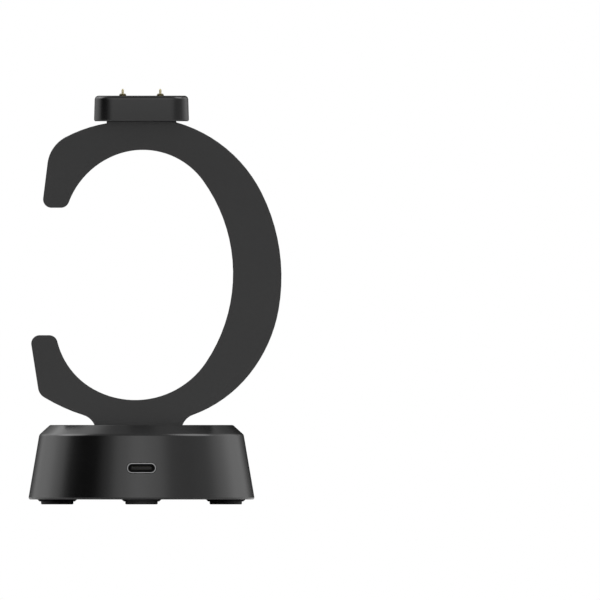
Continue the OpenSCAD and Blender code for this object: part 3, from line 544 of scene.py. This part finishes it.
@dataclass
class Base:
    """The round base: shell, bottom cover, feet, weight and circuit board."""

    flank_lean: float = 3.4 * MM
    bevel_width: float = 3.3 * MM
    bevel_height: float = 3.0 * MM
    wall: float = 2.0 * MM
    ledge: float = 0.6 * MM
    cover_thickness: float = 2.0 * MM
    rim_radius: float = 0.7 * MM
    edge_radius: float = 0.5 * MM
    top_edge_radius: float = 0.3 * MM
    hole_radius: float = 0.16 * MM
    gap: float = 0.12 * MM
    foot_edge: float = 0.35 * MM
    steps: int = 192

    def build(self) -> None:
        """Builds the base and dresses what is in it."""
        self.shell()
        for place in ("front", "right", "back", "left"):
            self.foot(place)
        dress(MATT_BLACK, "black_shell", "bottom_cover")
        dress(ZINC, "screw_steel", "cover_screws", "board_screws", "arm_screws")
        dress(ROLLED_STEEL, "weight_steel", "steel_weight")
        dress(BOARD_GREEN, "circuit_board", "base_board")
        dress(CHIP_BLACK, "chip_black", "board_parts")
        dress(NYLON, "socket_plastic", "wire_socket")

    def shell(self) -> None:
        """The shell, turned from its profile, with the openings for the port and the arm's foot."""
        low, high, _ = size_of("base_housing")
        radius = high.x
        flank_top = Vector((radius - self.flank_lean, high.z - self.bevel_height))
        top = flank_top.x - self.bevel_width
        cover_top = low.z + self.cover_thickness
        slope = self.flank_lean / (flank_top.y - low.z)
        inner_low = radius - slope * self.cover_thickness - self.wall
        ledge_edge = inner_low + self.ledge
        shape = Shape().spun([
            (0, high.z), (top, high.z), tuple(flank_top), (radius, low.z), (ledge_edge, low.z),
            (ledge_edge, cover_top), (inner_low, cover_top), (flank_top.x - self.wall, flank_top.y),
            (top, high.z - self.wall), (0, high.z - self.wall)], self.steps, closed=False)

        def on_rim(edge: bmesh.types.BMEdge) -> bool:
            return all(abs(v.co.z - low.z) < WELD_DISTANCE and v.co.xy.length > ledge_edge + WELD_DISTANCE * 9
                       for v in edge.verts)

        def on_shoulders(edge: bmesh.types.BMEdge) -> bool:
            a, b = (v.co for v in edge.verts)
            level = abs(a.z - b.z) < WELD_DISTANCE
            outside = a.xy.length > flank_top.x - WELD_DISTANCE if a.z < high.z - MM / 10 else True
            return level and a.z > flank_top.y - WELD_DISTANCE and outside and a.xy.length > top - MM / 10

        shape.round_edges(on_rim, self.rim_radius, 4)
        for edge_z, radius_of in ((flank_top.y, self.edge_radius), (high.z, self.top_edge_radius)):
            edges = [e for e in shape.bm.edges if on_shoulders(e) and abs(e.verts[0].co.z - edge_z) < MM / 10]
            bmesh.ops.bevel(shape.bm, geom=edges, offset=radius_of, offset_type="OFFSET", segments=4,
                            profile=0.5, affect="EDGES", clamp_overlap=True, material=-1)

        shape = shape.cut(self.port_cutter(), self.foot_cutter())

        def on_openings(edge: bmesh.types.BMEdge) -> bool:
            a, b = (v.co for v in edge.verts)
            port_low, port_high, _ = size_of("port_shell")
            at_port = all(c.y < port_high.y * 1.05 and abs(c.x) < port_high.x + MM / 2
                          and port_low.z - MM / 2 < c.z < port_high.z + MM / 2 and c.xy.length > radius - 3 * MM
                          for c in (a, b))
            at_foot = all(abs(c.z - high.z) < WELD_DISTANCE and c.xy.length < top - MM for c in (a, b))
            return at_port or at_foot

        shape.round_edges(on_openings, self.hole_radius)
        show(shape, "base_shell", SATIN_BLACK, ["base_housing"])

    def port_cutter(self) -> Shape:
        """The block that cuts the opening for the port."""
        low, high, middle = size_of("port_shell")
        outside = 3 * MM
        return slot_shape(high.x - low.x + 2 * self.gap, high.z - low.z + 2 * self.gap,
                          self.wall * 2 + outside, low.y - outside, middle.z)

    def foot_cutter(self) -> Shape:
        """The block that cuts the opening for the arm's foot."""
        top = size_of("base_housing")[1].z
        tray = size_of("arm_tray")[1].y
        bm = Shape()
        bm.bm.from_mesh(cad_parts["arm_tray"].data)
        inside = [v.co.x for v in bm.bm.verts if v.co.z < top - MM]
        bm.bm.free()
        left, right = min(inside) - self.gap, max(inside) + self.gap
        shape = Shape()
        face = shape.rounded_plate(right - left, 2 * (tray + self.gap), 0.5 * MM, segments=4)
        shape.extrude(face, Vector((0, 0, 2 * self.wall + MM)))
        return shape.move((left + right) / 2, 0, top - 2 * self.wall)

    def foot(self, place: str) -> None:
        """One rubber foot.

        Args:
            place: Where it is, as in its node's name.
        """
        low, high, middle = size_of(f"foot_{place}")
        radius = (high.x - low.x) / 2
        shape = Shape().spun([(0, low.z), (radius, low.z), (radius, high.z), (0, high.z)], 64, closed=False)
        shape.round_edges(lambda e: all(v.co.z < low.z + WELD_DISTANCE for v in e.verts), self.foot_edge)
        show(shape.move(middle.x, middle.y, 0), f"rubber_foot_{place}", FOOT_RUBBER,
             [f"foot_{place}"])


@dataclass
class Port:
    """The charging port: metal shell, insert with its tongue, and contacts."""

    wall: float = 0.3 * MM
    lip_radius: float = 0.09 * MM
    insert_length: float = 2.0 * MM
    tongue_width: float = 6.69 * MM
    tongue_thickness: float = 0.7 * MM
    tongue_corner: float = 0.35 * MM

    def build(self) -> None:
        """Builds the port."""
        low, high, middle = size_of("port_shell")
        width, depth, height = high - low
        ring = slot_shape(width, height, depth, low.y, middle.z)
        hollow = slot_shape(width - 2 * self.wall, height - 2 * self.wall, depth + 2 * MM, low.y - MM, middle.z)
        ring = ring.cut(hollow)
        ring.round_edges(lambda e: all(v.co.y < low.y + WELD_DISTANCE * 10 for v in e.verts), self.lip_radius, 2)
        show(ring, "port_ring", PORT_METAL, ["port_shell"])

        insert = slot_shape(width - 2 * self.wall, height - 2 * self.wall, self.insert_length,
                            high.y - self.insert_length, middle.z)
        tip = size_of("port_tongue")[0].y
        tongue = Shape()
        face = tongue.rounded_plate(self.tongue_width, high.y - tip, self.tongue_corner, segments=4)
        tongue.extrude(face, Vector((0, 0, self.tongue_thickness)))
        tongue.move(0, (tip + high.y) / 2, middle.z - self.tongue_thickness / 2)
        part = tongue.mesh("tongue")
        insert.bm.from_mesh(part)
        bpy.data.meshes.remove(part)
        show(insert, "port_insert", INSERT_BLACK, ["port_tongue"])
        dress(DIM_GOLD, "contact_gold", "port_contacts")


@dataclass
class Arm:
    """The C-shaped arm: its moulded tray and the plate that closes its back."""

    edge_radius: float = 0.22 * MM
    seam_radius: float = 0.14 * MM

    def build(self) -> None:
        """Builds the arm and dresses its wires."""
        low, high, _ = size_of("arm_tray")
        tray = cad_shape("arm_tray")
        outline = {self.place(v) for v in tray.bm.verts if abs(v.co.y - low.y) < WELD_DISTANCE * 10}
        tray.round_edges(lambda e: self.level(e, low.y) or self.level(e, high.y) and self.place(e.verts[0]) in outline,
                         self.edge_radius, 4)
        tray.round_edges(lambda e: self.level(e, high.y), self.seam_radius, 2)
        show(tray, "arm_shell", SATIN_BLACK, ["arm_tray"])

        plate = cad_shape("arm_cover")
        plate.round_edges(lambda e: self.level(e, high.y), self.seam_radius, 2)
        show(plate, "arm_back_plate", SATIN_BLACK, ["arm_cover"])
        dress(RED_WIRE, "wire_red", "wire_red")
        dress(BLACK_WIRE, "wire_black", "wire_black")

    @staticmethod
    def place(vert: bmesh.types.BMVert) -> tuple[int, int]:
        """A corner's place in the outline, in hundredths of a millimetre."""
        return round(vert.co.x / MM * 100), round(vert.co.z / MM * 100)

    @staticmethod
    def level(edge: bmesh.types.BMEdge, y: float) -> bool:
        """Whether an edge lies at one distance along Y."""
        return all(abs(v.co.y - y) < WELD_DISTANCE * 10 for v in edge.verts)


@dataclass
class Head:
    """The head: its shell, the plate below it and the watch pad."""

    low_edge: float = 0.45 * MM
    pad_corner: float = 2.3 * MM
    groove: float = 0.25 * MM
    groove_edge: float = 0.2 * MM
    pad_edge: float = 0.28 * MM

    def build(self) -> None:
        """Builds the head and dresses what is in it."""
        low, high, middle = size_of("head_housing")
        pad_low, pad_high, pad_middle = size_of("watch_pad")

        def on_low_rim(edge: bmesh.types.BMEdge) -> bool:
            outwards = (edge.verts[0].co - middle).xy
            return self.level(edge, low.z) and any(f.normal.xy.dot(outwards) > 0 for f in edge.link_faces
                                                   if abs(f.normal.z) < 0.5)

        shape = cad_shape("head_housing")
        shape.round_edges(on_low_rim, self.low_edge, 3)
        shape.round_edges(lambda e: self.level(e, high.z) and self.in_pad(e, pad_low, pad_high),
                          self.groove_edge, 3)
        show(shape, "head_shell", SATIN_BLACK, ["head_housing"])

        pad_size = pad_high - pad_low
        pad = Shape()
        face = pad.rounded_plate(pad_size.x, pad_size.y, self.pad_corner)
        pad.extrude(face, Vector((0, 0, pad_size.z)))
        pad.round_edges(lambda e: self.level(e, pad_size.z), self.pad_edge, 3)
        show(pad.move(pad_middle.x, pad_middle.y, pad_low.z), "silicone_pad", SOFT_BLACK,
             ["watch_pad"])
        dress(SATIN_BLACK, "black_shell", "head_plate")
        dress(BOARD_GREEN, "circuit_board", "head_board")
        dress(ZINC, "screw_steel", "head_screws", "neck_screws")
        dress(NICKEL, "magnet_metal", "magnet_left", "magnet_right")

    @staticmethod
    def level(edge: bmesh.types.BMEdge, z: float) -> bool:
        """Whether an edge lies at one height."""
        return all(abs(v.co.z - z) < WELD_DISTANCE * 10 for v in edge.verts)

    def in_pad(self, edge: bmesh.types.BMEdge, low: Vector, high: Vector) -> bool:
        """Whether an edge lies at the groove round the pad."""
        reach = self.groove * 2
        return all(low.x - reach < v.co.x < high.x + reach and low.y - reach < v.co.y < high.y + reach
                   for v in edge.verts)


@dataclass
class SpringContact:
    """One spring contact: its barrel with a domed collar, its plunger, and the spring between them."""

    side: Side
    mouth: float = 0.42 * MM
    collar_straight: float = 0.1 * MM
    body_radius: float = 0.95 * MM
    # Faces above the head whose normal leans up more than this keep the pale gold; steeper ones get the dark bronze
    # painted shade.
    painted_shade_slope: float = 0.84
    tail_radius: float = 0.45 * MM
    plunger_radius: float = 0.375 * MM
    shoulder_length: float = 1.2 * MM
    spring_wire: float = 0.07 * MM
    spring_turns: float = 5.0
    press: float = 1.0 * MM
    steps: int = 48

    def build(self) -> None:
        """Builds the contact."""
        self.barrel()
        self.plunger()
        self.spring()

    def barrel(self) -> None:
        """The barrel: tail, body, and a domed collar on the head, pale gold on its upward faces and dark bronze as
        painted shade on its steeper sides.
        """
        node = f"pin_barrel_{self.side.word}"
        low, high, middle = size_of(node)
        head_top = size_of("head_housing")[1].z
        board_top = size_of("head_board")[1].z
        shoulder_low, _, _ = size_of(f"pin_plunger_{self.side.word}")
        collar = (high.x - low.x) / 2
        rise = high.z - head_top - self.collar_straight
        steps = 8
        dome = [(self.mouth + 0.1 * MM + (collar - self.mouth - 0.1 * MM) * math.cos(a),
                 head_top + self.collar_straight + rise * math.sin(a))
                for a in (math.radians(84) * k / steps for k in range(steps + 1))]
        bore = 0.625 * MM
        mouth_low = head_top - 0.3 * MM
        floor = shoulder_low.z - 2.2 * MM
        shape = Shape().spun([(0, low.z), (self.tail_radius, low.z), (self.tail_radius, board_top),
                              (self.body_radius, board_top), (self.body_radius, head_top), (collar, head_top),
                              *dome, (self.mouth, high.z), (self.mouth, mouth_low), (bore, mouth_low),
                              (bore, floor), (0, floor)], self.steps, closed=False)
        # Painted shade: the collar's upward faces are pale gold, and its steeper sides keep the dark bronze that stands
        # for their shade.
        for face in shape.bm.faces:
            if face.calc_center_median().z > head_top and face.normal.z > self.painted_shade_slope:
                face.material_index = 1
        show(shape.move(middle.x, middle.y, 0), f"contact_barrel_{self.side.word}", BRONZE_PAINTED_SHADE,
             [node], more=[GOLD])

    def plunger(self) -> None:
        """The plunger: shoulder, shank and round tip."""
        node = f"pin_plunger_{self.side.word}"
        low, high, middle = size_of(node)
        shoulder = (high.x - low.x) / 2
        shoulder_top = low.z + self.shoulder_length
        steps = 8
        tip = [(self.plunger_radius * math.cos(a), high.z - self.plunger_radius * (1 - math.sin(a)))
               for a in (math.pi / 2 * k / steps for k in range(steps + 1))]
        shape = Shape().spun([(0, low.z), (shoulder, low.z), (shoulder, shoulder_top),
                              (self.plunger_radius, shoulder_top), *tip], self.steps, closed=False)
        show(shape.move(middle.x, middle.y, 0), f"contact_plunger_{self.side.word}", GOLD,
             [node], f"pin_{self.side.word}")


    def spring(self) -> None:
        """The coil spring below the plunger, made at its full length and riding on the dock."""
        node = f"pin_spring_{self.side.word}"
        low, high, middle = size_of(node)
        length = high.z - low.z
        shape = Shape().coil((high.x - low.x) / 2 - self.spring_wire, self.spring_wire, self.spring_turns,
                             length - 2 * self.spring_wire)
        shape.move(middle.x, middle.y, low.z + self.spring_wire)
        piece = show(shape, f"contact_spring_{self.side.word}", SPRING_WIRE, [node])
        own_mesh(piece)


@dataclass(frozen=True)
class StudioStop:
    """How bright the studio is in one direction: degrees round from the front towards the right, and level."""

    azimuth: float
    level: float


@dataclass(frozen=True)
class StudioPanel:
    """A round panel above the ring: where it is in degrees, its level, and where its soft edge starts and ends."""

    azimuth: float
    rise: float
    level: float
    outside: float
    inside: float


@dataclass
class Studio:
    """Floor, lights and camera."""

    stops: tuple[StudioStop, ...] = (
        StudioStop(-180, 0.01), StudioStop(-168, 0.2), StudioStop(-148, 0.93), StudioStop(-118, 1.5),
        StudioStop(-101, 1.14), StudioStop(-85, 0.1), StudioStop(-74, 0.0), StudioStop(-52, 0.0),
        StudioStop(-39, 0.45), StudioStop(-24, 1.42), StudioStop(-4, 1.97), StudioStop(17, 1.65),
        StudioStop(35, 0.75), StudioStop(53, 0.66), StudioStop(74, 0.72), StudioStop(95, 1.4),
        StudioStop(113, 1.75), StudioStop(134, 1.15), StudioStop(152, 0.22), StudioStop(165, 0.03))
    brightest: float = 2.0
    low_share: float = 0.2
    low_front_share: float = 0.4
    low_shift: float = 12.0
    overhead: float = 0.6
    corners: tuple[StudioPanel, ...] = (
        StudioPanel(-138, 45, 1.0, 25, 15), StudioPanel(-101, 38, 2.7, 22, 8), StudioPanel(76, 47, 3.4, 25, 10))
    plain_level: float = 0.75
    pixel: float = 0.3085 * MM
    picture: int = 600
    axis_pixel: float = 141.5
    table_pixel: float = 504.4
    distance: float = 0.8
    floor_size: float = 6.0
    key_place: tuple[float, float, float] = (0.35, -0.55, 1.1)
    key_size: float = 0.7
    key_power: float = 9.0

    def build(self) -> None:
        """Builds the stage round the dock."""
        scene = bpy.context.scene
        scene.view_settings.view_transform = "Standard"
        self.floor()
        self.world(scene)
        self.key()
        self.camera(scene)

    def camera(self, scene: bpy.types.Scene) -> None:
        """The camera, level and square on to the port's side, with the photograph's frame."""
        data = bpy.data.cameras.new("camera")
        data.type = "ORTHO"
        data.ortho_scale = self.pixel * self.picture
        data.clip_end = 10
        camera = bpy.data.objects.new("camera", data)
        middle = self.picture / 2
        camera.location = ((middle - self.axis_pixel) * self.pixel, -self.distance,
                           (self.table_pixel - middle) * self.pixel)
        camera.rotation_euler = (math.pi / 2, 0, 0)
        scene.collection.objects.link(camera)
        scene.camera = camera

    def floor(self) -> None:
        """The pale floor."""
        shape = Shape()
        shape.rounded_plate(self.floor_size, self.floor_size, 0.5)
        floor = bpy.data.objects.new("floor", shape.mesh("floor"))
        bpy.context.scene.collection.objects.link(floor)
        material = bpy.data.materials.new("floor_white")
        material.use_nodes = True
        shader = material.node_tree.nodes["Principled BSDF"]
        shader.inputs["Base Color"].default_value = (0.86, 0.86, 0.86, 1)
        shader.inputs["Roughness"].default_value = 0.9
        shader.inputs["Specular IOR Level"].default_value = 0.1
        floor.data.materials.append(material)

    def key(self) -> None:
        """A large soft lamp above the front right."""
        data = bpy.data.lights.new("key", "AREA")
        data.shape = "DISK"
        data.size = self.key_size
        data.energy = self.key_power
        key = bpy.data.objects.new("key", data)
        key.location = self.key_place
        key.rotation_euler = (-Vector(self.key_place)).to_track_quat("-Z", "Y").to_euler()
        key.visible_glossy = False
        bpy.context.scene.collection.objects.link(key)

    def world(self, scene: bpy.types.Scene) -> None:
        """The studio: a plain level for matt surfaces, soft panels for glossy ones, and white behind the dock."""
        world = bpy.data.worlds.new("studio")
        scene.world = world
        world.use_nodes = True
        tree = world.node_tree
        tree.nodes.clear()
        rays = tree.nodes.new("ShaderNodeLightPath").outputs
        plain = tree.nodes.new("ShaderNodeBackground")
        plain.inputs["Strength"].default_value = self.plain_level
        seen = tree.nodes.new("ShaderNodeBackground")
        panels = tree.nodes.new("ShaderNodeMix")
        panels.inputs["A"].default_value = 1.0
        link(tree, rays["Is Glossy Ray"], panels.inputs["Factor"])
        link(tree, self.panels(tree), panels.inputs["B"])
        link(tree, panels.outputs["Result"], seen.inputs["Strength"])
        direct = math_node(tree, "MAXIMUM", rays["Is Camera Ray"], rays["Is Transmission Ray"])
        mix = tree.nodes.new("ShaderNodeMixShader")
        link(tree, math_node(tree, "MAXIMUM", direct, rays["Is Glossy Ray"]), mix.inputs[0])
        link(tree, plain.outputs[0], mix.inputs[1])
        link(tree, seen.outputs[0], mix.inputs[2])
        link(tree, mix.outputs[0], tree.nodes.new("ShaderNodeOutputWorld").inputs["Surface"])
        for background in (plain, seen):
            background.inputs["Color"].default_value = (1, 1, 1, 1)

    def panels(self, tree: bpy.types.NodeTree) -> bpy.types.NodeSocket:
        """The soft panels round the dock, by direction.

        Args:
            tree: The world's node tree.

        Returns:
            How bright the studio is in the ray's direction.
        """
        direction = tree.nodes.new("ShaderNodeTexCoord").outputs["Generated"]
        split = tree.nodes.new("ShaderNodeSeparateXYZ")
        link(tree, direction, split.inputs[0])
        front = math_node(tree, "MULTIPLY", split.outputs["Y"], -1.0)
        azimuth = math_node(tree, "ARCTAN2", split.outputs["X"], front)
        turn = math_node(tree, "MULTIPLY_ADD", azimuth, 1 / math.tau, 0.5)
        low = self.ease(tree, split.outputs["Z"], -0.02, 0.28, 1.0, 0.0)
        leftward = self.ease(tree, split.outputs["X"], -0.3, 0.0, -self.low_shift / 360, 0.0)
        turn = math_node(tree, "MULTIPLY_ADD", low, leftward, turn)

        ramp = tree.nodes.new("ShaderNodeValToRGB")
        ramp.color_ramp.interpolation = "EASE"
        stops = ramp.color_ramp.elements
        while len(stops) < len(self.stops):
            stops.new(0.5)
        for element, stop in zip(stops, self.stops):
            element.position = stop.azimuth / 360 + 0.5
            level = stop.level / self.brightest
            element.color = (level, level, level, 1)
        link(tree, turn, ramp.inputs["Fac"])
        ring = math_node(tree, "MULTIPLY", ramp.outputs["Color"], self.brightest)

        ahead = math_node(tree, "MULTIPLY_ADD", math_node(tree, "MAXIMUM", front, 0.0), self.low_front_share,
                          self.low_share)
        faded = math_node(tree, "MULTIPLY", low, ahead)
        side = math_node(tree, "MULTIPLY", ring, math_node(tree, "SUBTRACT", 1.0, faded))
        up = self.ease(tree, split.outputs["Z"], 0.42, 0.72, 0.0, 1.0)
        down = math_node(tree, "SUBTRACT", 1.0, up)
        behind = self.ease(tree, split.outputs["Y"], 0.5, 0.85, self.overhead, 0.03)
        above = math_node(tree, "MULTIPLY", up, behind)
        level = math_node(tree, "MULTIPLY_ADD", side, down, above)

        for panel in self.corners:
            level = math_node(tree, "ADD", level, self.corner(tree, direction, panel))
        return level

    def corner(self, tree: bpy.types.NodeTree, direction: bpy.types.NodeSocket,
               panel: StudioPanel) -> bpy.types.NodeSocket:
        """One round panel.

        Args:
            tree: The world's node tree.
            direction: The ray's direction.
            panel: The panel.

        Returns:
            What it adds in the ray's direction.
        """
        azimuth, rise = math.radians(panel.azimuth), math.radians(panel.rise)
        dot = tree.nodes.new("ShaderNodeVectorMath")
        dot.operation = "DOT_PRODUCT"
        link(tree, direction, dot.inputs[0])
        dot.inputs[1].default_value = (math.sin(azimuth) * math.cos(rise), -math.cos(azimuth) * math.cos(rise),
                                       math.sin(rise))
        outside, inside = (math.cos(math.radians(a)) for a in (panel.outside, panel.inside))
        return self.ease(tree, dot.outputs["Value"], outside, inside, 0.0, panel.level)

    @staticmethod
    def ease(tree: bpy.types.NodeTree, value: bpy.types.NodeSocket, start: float, end: float, low: float,
             high: float) -> bpy.types.NodeSocket:
        """Adds a soft step.

        Args:
            tree: The tree that the node is added to.
            value: What steps.
            start: Where the step starts.
            end: Where it ends.
            low: The result before it.
            high: The result after it.

        Returns:
            The result's socket.
        """
        node = tree.nodes.new("ShaderNodeMapRange")
        node.interpolation_type = "SMOOTHSTEP"
        link(tree, value, node.inputs["Value"])
        for name, number in (("From Min", start), ("From Max", end), ("To Min", low), ("To Max", high)):
            node.inputs[name].default_value = number
        return node.outputs["Result"]


def main() -> None:
    """Builds the dock's sub-assemblies in order, then the studio."""
    logging.basicConfig(level=logging.INFO, stream=sys.stdout, format="%(name)s: %(message)s")
    for part in (Base(), Port(), Arm(), Head(), SpringContact(Side.LEFT), SpringContact(Side.RIGHT), Studio()):
        part.build()


if __name__ == "__main__":
    main()
